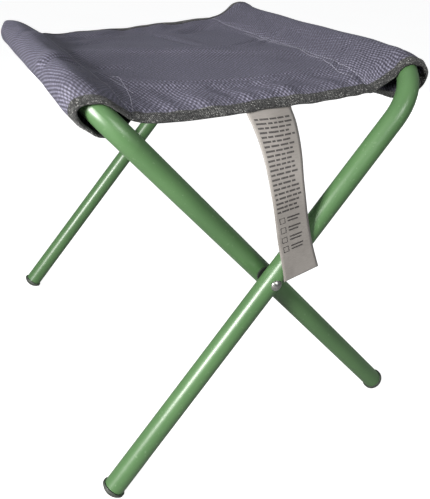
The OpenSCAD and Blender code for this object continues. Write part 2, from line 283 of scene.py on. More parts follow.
OUTER_LOOP = {
    "middle": [
        (99, 327.6), (110, 325.4), (122, 322.8), (133, 321.2), (142.6, 321.8),
        (149.2, 326.2), (151.0, 333.0), (149.2, 339.6), (144.2, 343.8), (137.2, 345.0),
        (128.5, 342.8), (116, 337.0), (99, 330.6)],
    "even": (100.0, 50.0),
    "front": [
        [(100.0, 138, 322.8), (101.2, 148, 318.0), (103.2, 154.0, 314.8)],
        [(111.5, 138, 319.6), (112.0, 149, 314.4), (112.0, 155.5, 312.0)],
        [(122.5, 138, 316.6), (122.0, 150, 311.4), (121.5, 157.0, 308.9)],
        [(133.5, 138, 316.0), (133.0, 151, 311.3), (133.0, 158.0, 308.4)],
        [(143.8, 138, 318.6), (143.8, 152, 315.0), (144.0, 159.0, 312.2)],
        [(151.2, 138, 324.4), (152.0, 153, 321.4), (151.2, 160.0, 318.0)],
        [(153.4, 138, 332.0), (154.8, 154, 329.4), (153.4, 160.5, 326.3)],
        [(150.6, 138, 338.8), (150.6, 155, 336.0), (148.8, 161.5, 332.6)],
        [(144.2, 138, 342.4), (142.5, 156, 338.8), (141.4, 162.5, 335.2)],
        [(136.0, 138, 342.8), (133.5, 156, 338.0), (134.0, 162.5, 335.0)],
        [(127.0, 138, 339.2), (123.0, 155, 332.4), (124.4, 161.5, 330.6)],
        [(114.0, 138, 332.2), (110.5, 152, 324.4), (113.2, 159.0, 322.6)],
        [(99.5, 138, 325.2), (100.0, 149, 318.8), (103.0, 155.2, 315.2)]],
    "back": [
        [(99.0, 132, 328.3), (98.0, 148, 328.5), (97.0, 154.0, 328.0)],
        [(110.3, 132, 324.8), (110.5, 148, 323.5), (110.5, 155.0, 323.0)],
        [(122.3, 132, 322.2), (123.0, 149, 319.5), (124.0, 155.5, 318.5)],
        [(133.5, 132, 321.0), (135.0, 150, 319.0), (136.0, 156.0, 318.0)],
        [(143.4, 132, 322.2), (146.0, 150, 322.5), (147.5, 156.5, 322.5)],
        [(150.0, 132, 327.0), (152.0, 150, 330.0), (153.0, 157.0, 330.0)],
        [(151.8, 132, 334.2), (152.4, 150, 338.5), (152.4, 157.5, 338.5)],
        [(149.6, 132, 341.2), (147.6, 150, 346.0), (147.0, 157.5, 345.5)],
        [(143.6, 132, 345.8), (139.0, 150, 348.6), (138.4, 157.5, 348.0)],
        [(136.0, 132, 346.6), (130.5, 150, 347.2), (129.0, 157.5, 345.8)],
        [(126.8, 132, 343.4), (121.5, 149, 341.4), (119.5, 157.0, 338.6)],
        [(114.5, 132, 337.4), (111.0, 149, 335.6), (109.5, 156.0, 334.0)],
        [(99.0, 132, 331.6), (98.0, 149, 331.8), (97.0, 155.5, 331.6)]],
}
# Sections across the panel, as shares of the way from the inner seam to the outer.
PANEL_SHARES = np.array([
    0.0, 0.03, 0.06, 0.1, 0.14, 0.19, 0.25, 0.31, 0.38, 0.44, 0.5,
    0.56, 0.62, 0.69, 0.75, 0.81, 0.86, 0.9, 0.94, 0.97, 1.0])
# Heights of the top layer; each pair is a row of stations and a row of z.
FRONT_HEM = (
    [-104, -96, -87, -72, -57, -41, -24, -8, 10, 28, 46, 65, 75, 85, 92, 103],   # x
    [314.2, 312.2, 311.0, 309.8, 309.4, 309.4, 310.2, 311.0,
     311.6, 311.8, 312.2, 312.8, 313.2, 314.0, 314.6, 315.0])
BACK_HEM = (
    [0, 0.1, 0.25, 0.4, 0.5, 0.62, 0.75, 0.88, 1],                               # panel share
    [323.2, 322.4, 322.8, 324.6, 325.0, 326.8, 328.6, 330.4, 331.6])
INNER_SEAM = (
    [-156, -149, -137, -118, -92, -60, 0, 60, 96, 135, 148, 156],                # y
    [314.4, 317.6, 323.2, 327.4, 329.6, 330.2, 330.5, 330.2, 329.4, 327.4, 325.0, 324.0])
OUTER_SEAM = (
    [-155, -149, -138, -120, -100, -60, 0, 60, 110, 132, 149, 156],              # y
    [315.2, 318.8, 325.2, 328.4, 329.8, 330.4, 330.6, 330.8, 331.4, 331.6, 331.8, 331.6])
PANEL_MIDDLE = (
    [-118, -100, -60, -10, 50, 100, 135, 156],                                   # y
    [322.6, 325.4, 327.2, 329.4, 328.0, 326.4, 325.6, 325.6])
HEM_START_X, HEM_SPAN = -104, 207
HEM_RISE = [(-PANEL_HALF_DEPTH, 0), (-149, 4.7), (-138, 9.6)]   # y, height over the front hem
HEM_SLOPE = 0.7                                                # past the front edge
PANEL_Y = [-118, -100, -60, -10, 50, 100, 135]
PANEL_BACK_Y = 156

PER_SPAN = 7
LOOP_LAST = len(INNER_LOOP["middle"]) - 1
PANEL_SPANS = len(PANEL_SHARES) - 1
SECTION_ROWS = (2 * LOOP_LAST + PANEL_SPANS) * PER_SPAN + 1
INNER_SEAM_ROW = LOOP_LAST * PER_SPAN
OUTER_SEAM_ROW = (LOOP_LAST + PANEL_SPANS) * PER_SPAN


def loop_row(loop, i, v):
    """Control i of a sleeve loop at depths v: -1 is its front edge and 1 its back edge."""
    front, back = loop["front"][i], loop["back"][i]
    even_front, even_back = loop["even"]
    y = np.where(v < 0, v * front[2][1], v * back[2][1])
    stations = ([-place[1] for place in front[::-1]]
                + [-even_front, -even_front * 0.5, even_back * 0.5, even_back]
                + [place[1] for place in back])
    past = np.where(y < stations[0], y - stations[0],
                    np.where(y > stations[-1], y - stations[-1], 0))
    coords = []
    for axis, middle in zip((0, 2), loop["middle"][i]):
        values = ([place[axis] for place in front[::-1]] + [middle] * 4
                  + [place[axis] for place in back])
        front_slope, back_slope = [
            (places[2][axis] - places[1][axis]) / (places[2][1] - places[1][1])
            for places in (front, back)]
        beyond = np.where(past < 0, -past * front_slope, past * back_slope)
        coords.append(interp(y, stations, values) + beyond)
    return np.stack([coords[0], y, coords[1]], 1)


def panel_row(share, inner_x, outer_x, v):
    """Control row of the panel, at a share of the way from the inner seam to the outer."""
    x = inner_x * (1 - share) + outer_x * share
    y = v * PANEL_HALF_DEPTH
    hem_z = np.interp(HEM_START_X + HEM_SPAN * share, *FRONT_HEM)
    sag = np.power(np.clip(4 * share * (1 - share), 0, 1), 0.75)
    stations = [rise_y for rise_y, _ in HEM_RISE] + PANEL_Y + [PANEL_BACK_Y]
    heights = [hem_z + rise for _, rise in HEM_RISE]
    for panel_y in PANEL_Y:
        seams = interp(panel_y, *INNER_SEAM) * (1 - share) + interp(panel_y, *OUTER_SEAM) * share
        heights.append(float(seams * (1 - sag) + interp(panel_y, *PANEL_MIDDLE) * sag))
    heights.append(float(np.interp(share, *BACK_HEM)))
    past = np.where(y < -PANEL_HALF_DEPTH, (y + PANEL_HALF_DEPTH) * HEM_SLOPE, 0)
    return np.stack([x, y, interp(y, stations, heights) + past], 1)


def section_controls(v):
    """Control rows of the whole section at depths v: (controls, len(v), 3)."""
    rows = [loop_row(INNER_LOOP, i, v) for i in range(LOOP_LAST + 1)]
    inner_x = rows[-1][:, 0]
    outer_x = loop_row(OUTER_LOOP, LOOP_LAST, np.clip(v, -1, 1))[:, 0]
    rows += [panel_row(share, inner_x, outer_x, v) for share in PANEL_SHARES[1:-1]]
    rows += [loop_row(OUTER_LOOP, i, v) for i in range(LOOP_LAST, -1, -1)]
    return np.stack(rows)


# ---------------------------------------------------------------- creases and gathers (mm)
# The two long creases across the panel, as (x, y).
BACK_CREASE = [(-104, 10), (-80, 7), (-54, 2), (-27, -5), (17, -21), (62, -36), (90, -46),
               (112, -58)]
FRONT_CREASE = [(-105, -72), (-100, -80), (-93, -89), (-82, -99), (-62, -106), (-40, -110),
                (-14, -111), (15, -113), (42, -113), (65, -111), (84, -110), (106, -106)]
# path of (x, y), depth, width, lift of the cloth beside it, width of the lift.
# A positive lift is on the path's left, a negative one on its right.
CREASES = [
    (FRONT_CREASE, 1.7, 2.3, -1.0, 4.0),
    (BACK_CREASE, 0.8, 2.2, -0.9, 4.0),
    ([(-105, -49), (-87, -53), (-68, -57)], 1.10, 2.8, 0.64, 4.0),
    ([(0, 126), (4, 112), (13, 88), (15, 54), (18, 28), (18, 2)], 1.44, 3.5, 0.72, 6.2),
    ([(-14, 3), (31, 0), (53, -1), (70, 9), (85, 17), (101, 29), (117, 41)],
     1.78, 4.5, -1.20, 7.5),
    ([(74, -10), (90, 2), (108, 15), (124, 26)], 1.02, 4.0, -0.72, 6.2),
    ([(88, -122), (106, -106), (122, -92), (132, -82)], 2.04, 4.2, -1.44, 7.5),
    ([(60, -74), (84, -72), (104, -66)], 1.19, 8.8, 0.48, 11.2),
    # the root of the inner tube's sleeve, and the hump where its cloth starts to hang loose
    ([(-119, 92), (-117, 45), (-115.4, 12), (-113.3, -17), (-113, -45), (-112, -62)],
     2.04, 3.2, -1.76, 5.0),
    ([(-110, -66), (-122, -73), (-136, -83), (-152, -97)], 2.21, 4.0, -2.56, 8.8),
    ([(-106, -92), (-116, -106), (-122, -124), (-124, -146)], 1.36, 4.0, 1.12, 6.2),
    ([(-128, 60), (-140, 40), (-150, 18)], 1.19, 5.0, 0.96, 8.8),
    # the back of the panel and the outer tube's sleeve
    ([(-100, 96), (-62, 112), (-20, 118)], 2.04, 6.9, 1.44, 8.8),
    ([(-98, 62), (-60, 74), (-34, 80)], 1.02, 5.0, 0.80, 7.5),
    ([(-92, 132), (-70, 120), (-54, 104)], 1.53, 5.0, 1.12, 7.5),
    ([(30, 96), (62, 116), (92, 128)], 2.21, 6.2, 1.76, 8.8),
    ([(118, 20), (128, 62), (132, 104)], 1.36, 6.2, 0.96, 8.8),
    ([(108, -40), (119, -18), (125, 8)], 0.85, 5.6, 0.64, 7.5),
]
CREASE_FADE = 0.3   # share of a crease's length over which each end fades
wave_random = np.random.RandomState(7)
# waves per mm, direction, phase, height
WAVES = [(wave_random.uniform(0.007, 0.019), wave_random.uniform(0, 2 * math.pi),
          wave_random.uniform(0, 2 * math.pi), wave_random.uniform(0.08, 0.2))
         for _ in range(12)]


def crease(x, y, path, depth, width, lift, lift_width):
    """Height of a groove along a path, with cloth lifted beside it."""
    path = np.array(path, float)
    lengths = lengths_along(path)
    distance = np.full(x.shape, 1e9)
    side = np.zeros(x.shape)
    along = np.zeros(x.shape)
    for i, (start_x, start_y) in enumerate(path[:-1]):
        step_x, step_y = path[i + 1] - path[i]
        squared = step_x * step_x + step_y * step_y
        t = np.clip(((x - start_x) * step_x + (y - start_y) * step_y) / squared, 0, 1)
        off_x, off_y = x - start_x - t * step_x, y - start_y - t * step_y
        off = np.hypot(off_x, off_y)
        closer = off < distance
        distance = np.where(closer, off, distance)
        side = np.where(closer, np.sign(step_x * off_y - step_y * off_x), side)
        along = np.where(closer, (lengths[i] + t * math.sqrt(squared)) / lengths[-1], along)
    fade = smooth(along / CREASE_FADE) * smooth((1 - along) / CREASE_FADE)
    ridge = (1.4 * width + 0.75 * lift_width) * (1 if lift > 0 else -1)
    groove = -depth * np.exp(-((distance / width) ** 2))
    return fade * (groove
                   + abs(lift) * np.exp(-(((distance * side - ridge) / lift_width) ** 2)))


def roof(distance, rounding, reach):
    """A ridge of two slopes that level off: 0 at the top, falling to -1."""
    return -np.tanh((np.sqrt(distance * distance + rounding * rounding) - rounding) / reach)


def panel_folds(x, y):
    """The panel's three fields, which meet at the two long creases, each at its own tilt."""
    inside = (smooth((x + 112) / 14) * smooth((104 - x) / 14)
              * smooth((152 - np.abs(y)) / 30))
    from_back, from_front = (y - interp(x, *zip(*path)) for path in (BACK_CREASE, FRONT_CREASE))
    return (inside * 4.4 * (roof(from_back, rounding=1.6, reach=34.0) + 0.66)
            + inside * 2.6 * (roof(from_front, rounding=1.2, reach=13.0) + 0.5))


def hem_gathers(x, y):
    """Gathers by the front hem, and softer ones by the back."""
    front = (np.sin((x + 0.45 * y) / 3.1 + 1.1 * np.sin(x / 17.0)) * 0.55
             + np.sin((x + 0.2 * y) / 5.6 + 1.3) * 0.7
             + np.sin((x - 0.3 * y) / 10.5 + 2.0) * 1.0)
    back = (np.sin((x - 0.4 * y) / 5.4 + 0.8 * np.sin(x / 19.0)) * 0.7
            + np.sin((x + 0.3 * y) / 11.0 + 2.0) * 1.1)
    between = smooth((x + 112) / 16) * smooth((112 - x) / 16)
    return (smooth((-y - 104) / 36) * front + smooth((y - 112) / 34) * back) * between


def detail(points, row):
    """Height of creases, gathers and unevenness along the cloth's normal; row is (rows, 1)."""
    x, y = points[..., 0], points[..., 1]
    from_edge = np.abs(y)
    # 1 over the seat's top and 0 on the sleeves' undersides
    upper = (smooth((row - 5.5 * PER_SPAN) / (2 * PER_SPAN))
             * smooth((OUTER_SEAM_ROW + 6.5 * PER_SPAN - row) / (2 * PER_SPAN)))
    uneven = np.zeros(x.shape)
    for per_mm, angle, phase, height in WAVES:
        across = x * math.cos(angle) + y * math.sin(angle)
        uneven += height * np.sin(2 * math.pi * per_mm * across + phase)
    folds = sum(crease(x, y, *entry) for entry in CREASES)
    folds = folds + panel_folds(x, y) + hem_gathers(x, y)
    # stitched seams pull a shallow channel
    channel = (np.exp(-(((row - INNER_SEAM_ROW) / (0.32 * PER_SPAN)) ** 2))
               + np.exp(-(((row - OUTER_SEAM_ROW) / (0.24 * PER_SPAN)) ** 2)))
    height = uneven * (0.3 + 0.7 * upper) + folds * upper - 0.9 * channel * upper
    # slack under the sleeves' ends
    height += ((1 - upper) * 0.5 * np.sin(y / 9.0 + 1.1 * np.sin(y / 31.0))
               * smooth((from_edge - 60) / 50) * smooth((158 - from_edge) / 14))
    return height * (0.35 + 0.65 * smooth((HALF_DEPTH - from_edge) / 10))


# ---------------------------------------------------------------- the cloth as a surface
def normals(points):
    """Normals of a grid of cloth points, turned to face up in the middle of the panel."""
    normal = unit(np.cross(np.gradient(points, axis=1), np.gradient(points, axis=0)))
    middle = normal[SECTION_ROWS // 2, normal.shape[1] // 2]
    return normal if middle[2] > 0 else -normal


def relax(points):
    eased = points.copy()
    eased[1:-1, 1:-1] = points[1:-1, 1:-1] * 0.5 + 0.125 * (
        points[:-2, 1:-1] + points[2:, 1:-1] + points[1:-1, :-2] + points[1:-1, 2:])
    return eased


def surface(v):
    """The middle of the cloth at depths v, and its normals: (SECTION_ROWS, len(v), 3) each."""
    clearance = TUBE_R + CLOTH_GAP + TAPE_GAP * smooth((np.abs(v) - 0.93) / 0.03)
    points = catmull(section_controls(v), PER_SPAN)
    height = detail(points, np.arange(SECTION_ROWS)[:, None])
    points = push_out(points + normals(points) * height[..., None], clearance)
    points = push_out(relax(points), clearance)
    return points, normals(points)


# ---------------------------------------------------------------- shader helpers
def srgb(red, green, blue):
    """Linear colour of an sRGB colour given as 0 to 255."""
    def linear(c):
        return c / 12.92 if c <= 0.04045 else ((c + 0.055) / 1.055) ** 2.4
    return (linear(red / 255), linear(green / 255), linear(blue / 255), 1.0)


class Nodes:
    """Writes the node tree of a material or a world. Inputs take a socket or a value."""

    def __init__(self, owner):
        owner.use_nodes = True
        self.tree = owner.node_tree

    def feed(self, socket, value):
        if isinstance(value, bpy.types.NodeSocket):
            self.tree.links.new(value, socket)
        else:
            socket.default_value = value

    def node(self, kind, inputs=None, **settings):
        node = self.tree.nodes.new(kind)
        for name, value in settings.items():
            setattr(node, name, value)
        for key, value in (inputs or {}).items():
            self.feed(node.inputs[key], value)
        return node

    def surface(self, inputs):
        """Sets inputs of the Principled shader."""
        for key, value in inputs.items():
            self.feed(self.tree.nodes["Principled BSDF"].inputs[key], value)

    def bump(self, height, strength, distance):
        inputs = {"Height": height, "Strength": strength, "Distance": distance}
        self.surface({"Normal": self.node("ShaderNodeBump", inputs).outputs[0]})

    def object_coords(self):
        return self.node("ShaderNodeTexCoord").outputs["Object"]

    def uv(self):
        return self.node("ShaderNodeUVMap", uv_map="UVMap").outputs[0]

    def separate(self, vector):
        outputs = self.node("ShaderNodeSeparateXYZ", {0: vector}).outputs
        return outputs[0], outputs[1]

    def stretched(self, vector, x, y):
        return self.node("ShaderNodeMapping", {"Vector": vector, "Scale": (x, y, 1)}).outputs[0]

    def noise(self, vector, scale, detail, roughness=0.5):
        inputs = {"Vector": vector, "Scale": scale, "Detail": detail, "Roughness": roughness}
        return self.node("ShaderNodeTexNoise", inputs).outputs[0]

    def math(self, operation, a, b=0.0, clamp=False):
        return self.node("ShaderNodeMath", {0: a, 1: b},
                         operation=operation, use_clamp=clamp).outputs[0]

    def add(self, a, b, clamp=False):
        return self.math("ADD", a, b, clamp)

    def times(self, a, b):
        return self.math("MULTIPLY", a, b)

    def sine(self, a, frequency):
        return self.math("SINE", self.times(a, frequency))

    def line(self, value, gain, offset):
        return self.add(self.times(value, gain), offset)

    def about(self, value, centre, gain, clamp=False):
        """How far a value is from a centre, times gain."""
        return self.math("MULTIPLY", self.math("SUBTRACT", value, centre), gain, clamp)

    def mix(self, factor, a, b):
        return self.node("ShaderNodeMix", {0: factor, 6: a, 7: b}, data_type="RGBA").outputs[2]

    def ramp(self, factor, stops):
        node = self.node("ShaderNodeValToRGB", {0: factor})
        elements = node.color_ramp.elements
        while len(elements) < len(stops):
            elements.new(0.5)
        for element, (position, colour) in zip(elements, stops):
            element.position = position
            element.color = colour
        return node.outputs[0]


def new_material(name):
    material = bpy.data.materials.new(name)
    return material, Nodes(material)


# ---------------------------------------------------------------- materials
def cloth_material():
    """Coated twill: diagonal ribs with pale and dark threads. UVs are in mm."""
    material, net = new_material("cloth_twill")
    uv = net.uv()
    u, v = net.separate(uv)
    warp = net.noise(uv, scale=0.045, detail=2.0)
    diagonal = net.add(net.times(u, 2.2), net.times(v, 0.7))
    rib = net.math("SINE", net.add(diagonal, net.times(warp, 4.0)))
    counter_rib = net.math("SINE", net.add(net.times(u, -1.5), net.times(v, 1.7)))
    grid = net.times(net.sine(u, frequency=5.6), net.sine(v, frequency=6.4))
    fine = net.add(net.times(grid, 0.5), net.times(counter_rib, 0.3))
    weave = net.add(net.times(rib, 0.5), fine)
    weft = net.noise(net.stretched(uv, x=0.4, y=1.7), scale=1.0, detail=3.0)
    cross_weft = net.noise(net.stretched(uv, x=1.6, y=0.3), scale=1.0, detail=2.0)
    cloud = net.noise(uv, scale=0.02, detail=3.0)
    shade = net.line(weave, gain=0.34, offset=0.5)
    shade = net.add(shade, net.about(weft, centre=0.5, gain=1.0), clamp=True)
    shade = net.add(shade, net.about(cross_weft, centre=0.5, gain=0.7), clamp=True)
    colour = net.ramp(shade, [
        (0.12, srgb(42, 41, 50)), (0.5, srgb(78, 76, 88)), (0.88, srgb(158, 156, 176))])
    worn = net.about(cloud, centre=0.4, gain=0.6, clamp=True)
    net.surface({
        "Base Color": net.mix(worn, colour, srgb(84, 82, 95)),
        "Roughness": net.line(weft, gain=0.14, offset=0.4),
        "Sheen Weight": 0.06,
        "Sheen Roughness": 0.4,
        "Sheen Tint": srgb(196, 196, 226),
        "Specular IOR Level": 0.4,
    })
    net.bump(net.add(net.times(weave, 0.8), weft), strength=0.4, distance=0.0004)
    return material


def tape_material():
    """Dark knitted tape with pale specks."""
    material, net = new_material("binding_tape")
    uv = net.uv()
    u, v = net.separate(uv)
    knit = net.times(net.sine(u, frequency=4.2), net.sine(v, frequency=5.2))
    speck = net.noise(uv, scale=0.9, detail=2.5, roughness=0.75)
    cells = net.node("ShaderNodeTexVoronoi", {"Vector": uv, "Scale": 0.75}).outputs[0]
    wide = net.noise(uv, scale=0.05, detail=2.0)
    shade = net.line(knit, gain=0.16, offset=speck)
    shade = net.add(shade, net.about(0.32, centre=cells, gain=0.28))
    shade = net.add(shade, net.about(wide, centre=0.5, gain=0.3))
    net.surface({
        "Base Color": net.ramp(shade, [
            (0.3, srgb(28, 28, 28)), (0.5, srgb(58, 58, 58)),
            (0.62, srgb(96, 96, 94)), (0.74, srgb(198, 197, 193))]),
        "Roughness": 0.85,
        "Sheen Weight": 0.15,
        "Specular IOR Level": 0.25,
    })
    net.bump(shade, strength=0.6, distance=0.0004)
    return material


def thread_material(name, colour):
    material, net = new_material(name)
    fibre = net.noise(net.object_coords(), scale=900.0, detail=2.0)
    dark = srgb(*[c * 0.62 for c in colour])
    net.surface({
        "Base Color": net.ramp(fibre, [(0.35, dark), (0.65, srgb(*colour))]),
        "Roughness": 0.6,
        "Sheen Weight": 0.2,
    })
    net.bump(fibre, strength=0.4, distance=0.0002)
    return material


def paint_material():
    """Gloss enamel with faint orange peel and dust."""
    material, net = new_material("green_enamel")
    coords = net.object_coords()
    tone = net.noise(coords, scale=14.0, detail=3.0)
    colour = net.ramp(tone, [(0.3, srgb(74, 107, 67)), (0.7, srgb(84, 119, 75))])
    dust = net.noise(coords, scale=420.0, detail=2.0)
    specks = net.ramp(dust, [(0.66, (0, 0, 0, 1)), (0.74, (1, 1, 1, 1))])
    wear = net.noise(coords, scale=55.0, detail=4.0)
    net.surface({
        "Base Color": net.mix(net.times(specks, 0.25), colour, srgb(150, 176, 142)),
        "Roughness": net.line(wear, gain=0.16, offset=0.3),
        "Coat Weight": 0.4,
        "Coat Roughness": 0.3,
        "Specular IOR Level": 0.5,
    })
    net.bump(net.noise(coords, scale=170.0, detail=2.0), strength=0.12, distance=0.0006)
    return material


def plastic_material(name, dark, light, roughness):
    """Grained plastic with pale scuffs; roughness is that of its smoothest parts."""
    material, net = new_material(name)
    coords = net.object_coords()
    grain = net.noise(coords, scale=260.0, detail=4.0, roughness=0.65)
    scuff = net.noise(coords, scale=38.0, detail=3.0)
    colour = net.ramp(grain, [(0.3, srgb(*dark)), (0.75, srgb(*light))])
    scuffed = srgb(*[c * 1.25 + 12 for c in light])
    net.surface({
        "Base Color": net.mix(net.about(scuff, centre=0.52, gain=1.6, clamp=True),
                              colour, scuffed),
        "Roughness": net.line(scuff, gain=0.2, offset=roughness),
    })
    net.bump(grain, strength=0.3, distance=0.0003)
    return material


def steel_material():
    material, net = new_material("plated_steel")
    grain = net.noise(net.object_coords(), scale=500.0, detail=3.0)
    net.surface({
        "Base Color": net.ramp(grain, [(0.3, srgb(176, 176, 172)), (0.7, srgb(214, 214, 210))]),
        "Metallic": 1.0,
        "Roughness": net.line(grain, gain=0.2, offset=0.2),
    })
    net.bump(grain, strength=0.15, distance=0.0003)
    return material


def label_material():
    material, net = new_material("label_satin")
    uv = net.uv()
    weft = net.noise(net.stretched(uv, x=0.2, y=2.4), scale=1.0, detail=2.0)
    cloud = net.noise(uv, scale=0.04, detail=2.0)
    shade = net.add(net.times(weft, 0.5), net.times(cloud, 0.5))
    net.surface({
        "Base Color": net.ramp(shade, [(0.3, srgb(122, 117, 112)), (0.72, srgb(150, 145, 140))]),
        "Roughness": 0.5,
        "Sheen Weight": 0.2,
    })
    net.bump(weft, strength=0.25, distance=0.0002)
    return material


def ink_material():
    material, net = new_material("label_ink")
    grain = net.noise(net.object_coords(), scale=1400.0, detail=2.0)
    net.surface({
        "Base Color": net.ramp(grain, [(0.3, srgb(44, 42, 42)), (0.7, srgb(84, 80, 78))]),
        "Roughness": 0.7,
    })
    return material


CLOTH = cloth_material()
TAPE = tape_material()
SEAM_THREAD = thread_material("seam_thread", (172, 171, 186))
TAPE_THREAD = thread_material("tape_thread", (44, 44, 46))
PAINT = paint_material()
CAP_PLASTIC = plastic_material("cap_plastic", (40, 44, 40), (74, 80, 72), roughness=0.45)
SPACER_PLASTIC = plastic_material("spacer_plastic", (22, 24, 22), (40, 42, 40), roughness=0.4)
STEEL = steel_material()
LABEL = label_material()
INK = ink_material()


def cad_material(name):
    """Material of a CAD piece, or None where the piece keeps its own."""
    if name.endswith("_tube"):
        return PAINT
    if "foot_cap" in name:
        return CAP_PLASTIC
    if name.startswith(("rivet", "backing")):
        return STEEL
    if name.startswith("spacer"):
        return SPACER_PLASTIC
    return None


def paint_cad_pieces():
    for name, obj in frame["nodes"].items():
        material = cad_material(name)
        if material:
            obj.data.materials.clear()
            obj.data.materials.append(material)


# ---------------------------------------------------------------- the cloth
CLOTH_COLUMNS = 249
COLUMN_SWEEP = math.pi / 2 * 0.6   # packs the columns closer towards both edges


def build_cloth():
    """Makes the seat; returns its upper face and normals."""
    v = np.sin(np.linspace(-1, 1, CLOTH_COLUMNS) * COLUMN_SWEEP) / math.sin(COLUMN_SWEEP)
    middle, normal = surface(v)
    upper, verts, faces = slab(middle, normal, CLOTH_THICKNESS)
    along = lengths_along(middle[:, CLOTH_COLUMNS // 2])
    uvs = np.stack([np.tile(np.repeat(along, CLOTH_COLUMNS), 2),
                    np.tile(v * HALF_DEPTH, 2 * SECTION_ROWS)], 1)
    cloth = mesh_object("seat_cloth", verts, faces, uvs, CLOTH)
    fit_to_frame(cloth, ("seat_sheet", "inner_sleeve"))
    return upper, normal


# ---------------------------------------------------------------- stitches
STITCH_START = 1.0
STITCH_SIDES = 6
# place along a stitch from its middle, as a share of its length; share of its full radius
STITCH_RINGS = [(-0.5, 0.35), (-0.42, 0.85), (-0.2, 1.05), (0.2, 1.05), (0.42, 0.85), (0.5, 0.35)]


def stitch_row(name, path, up, material, replaced=(), length=2.5, pitch=3.4, radius=0.3,
               height=0.0):
    """Separate stitches along a path, each a rounded bead with its ends pressed in."""
    lengths = lengths_along(path)
    total = lengths[-1]
    verts, faces = [], []
    start = STITCH_START
    while start + length < total:
        centre = start + length / 2
        first = len(verts)
        for share, swell in STITCH_RINGS:
            place = centre + share * length
            point = sample(place, lengths, path)
            forward = unit(sample(min(total, place + 0.2), lengths, path)
                           - sample(max(0, place - 0.2), lengths, path))
            normal = sample(centre, lengths, up)
            normal = unit(normal - forward * (normal @ forward))
            sideways = np.cross(forward, normal)
            lift = height - radius * 0.9 * (abs(share) * 2) ** 3
            for k in range(STITCH_SIDES):
                angle = k * math.pi / 3
                verts.append(point + normal * (lift + radius * swell * math.sin(angle))
                             + sideways * radius * swell * math.cos(angle))
        for i in range(len(STITCH_RINGS) - 1):
            a = first + i * STITCH_SIDES
            b = a + STITCH_SIDES
            for k in range(STITCH_SIDES):
                n = (k + 1) % STITCH_SIDES
                faces.append((a + k, a + n, b + n, b + k))
        faces.append(tuple(range(first + STITCH_SIDES - 1, first - 1, -1)))
        faces.append(tuple(range(len(verts) - STITCH_SIDES, len(verts))))
        start += pitch
    verts = np.array(verts)
    obj = mesh_object(name, verts, faces, None, material)
    fit_to_frame(obj, replaced)


def stitch_seams(upper, normal):
    """The stitches along both seams, stopping short of the edge bindings."""
    inset = slice(6, CLOTH_COLUMNS - 6)
    for side, row in (("inner", INNER_SEAM_ROW), ("outer", OUTER_SEAM_ROW)):
        stitch_row(f"{side}_seam_stitches", upper[row][inset], normal[row][inset], SEAM_THREAD,
                   (f"{side}_seam_thread",), height=0.06)


# The stitched triangles at the front ends of both seams, and the outer seam's second row:
# name, thread radius, path of (x, y)
SEWN_LINES = [
    ("corner_stitches_left", 0.32,
     [(-98, -86), (-92.5, -89), (-93.4, -108), (-96.5, -130), (-101.5, -150)]),
    ("corner_stitches_left_cross", 0.28, [(-99.5, -88), (-95, -108), (-90.5, -124)]),
    ("corner_stitches_right", 0.3, [(96, -90), (92.5, -103), (90.5, -122), (93, -143)]),
    ("outer_seam_second_row", 0.3, [(94.5, 60), (94.8, 20), (95, -20), (95.2, -60), (96, -90)]),
]


def sew_line(name, radius, path, upper, normal):
    """A row of stitches laid on the cloth's upper face along a path of (x, y)."""
    path = np.array(path, float)
    lengths = lengths_along(path)
    top_rows = slice(INNER_SEAM_ROW - 3 * PER_SPAN, OUTER_SEAM_ROW + 5 * PER_SPAN)
    cloth_points = upper[top_rows].reshape(-1, 3)
    cloth_normals = normal[top_rows].reshape(-1, 3)
    points, ups = [], []
    for x, y in sample(np.arange(0, lengths[-1], 1.0), lengths, path):
        squared = (cloth_points[:, 0] - x) ** 2 + (cloth_points[:, 1] - y) ** 2
        nearest = np.argsort(squared)[:4]
        share = 1 / (squared[nearest] + 1e-3)
        share = (share / share.sum())[:, None]
        points.append((x, y, (cloth_points[nearest] * share).sum(0)[2]))
        ups.append((cloth_normals[nearest] * share).sum(0))
    stitch_row(name, np.array(points), unit(np.array(ups)), SEAM_THREAD,
               radius=radius, height=0.12)


# ---------------------------------------------------------------- edge binding
# The tape's section: distance inwards from the cloth's edge, height over the cloth's middle.
TAPE_SECTION = [
    (-1.5, 0.0), (-1.35, 0.75), (-0.7, 1.25), (0.4, 1.42), (2.2, 1.38), (3.8, 1.3), (4.4, 1.1),
    (4.9, 1.28), (5.4, 1.2), (5.7, 0.62), (5.7, -0.62), (5.4, -1.2), (4.9, -1.28), (4.4, -1.1),
    (3.8, -1.3), (2.2, -1.38), (0.4, -1.42), (-0.7, -1.25), (-1.35, -0.75)]
TAPE_STITCH_INSET, TAPE_STITCH_HEIGHT = 4.4, 1.14
EDGE_EDGE_COLUMN = 2   # column of the edge strip used for lengths along the tape


def edge_strip(side):
    """The cloth by one long edge: distances inwards from the edge, points and normals."""
    inwards = np.linspace(-2.0, 8.0, 11)
    return (inwards, *surface(side * (1 - inwards / HALF_DEPTH)))


def on_edge(strip, inset, height):
    """Points along an edge at a distance inwards from it and a height over the cloth."""
    inwards, points, normal = strip
    count = len(inwards)
    i, part = split_index(np.interp(inset, inwards, np.arange(count)), count)
    base = points[:, i] * (1 - part) + points[:, i + 1] * part
    return base + unit(normal[:, i] * (1 - part) + normal[:, i + 1] * part) * height


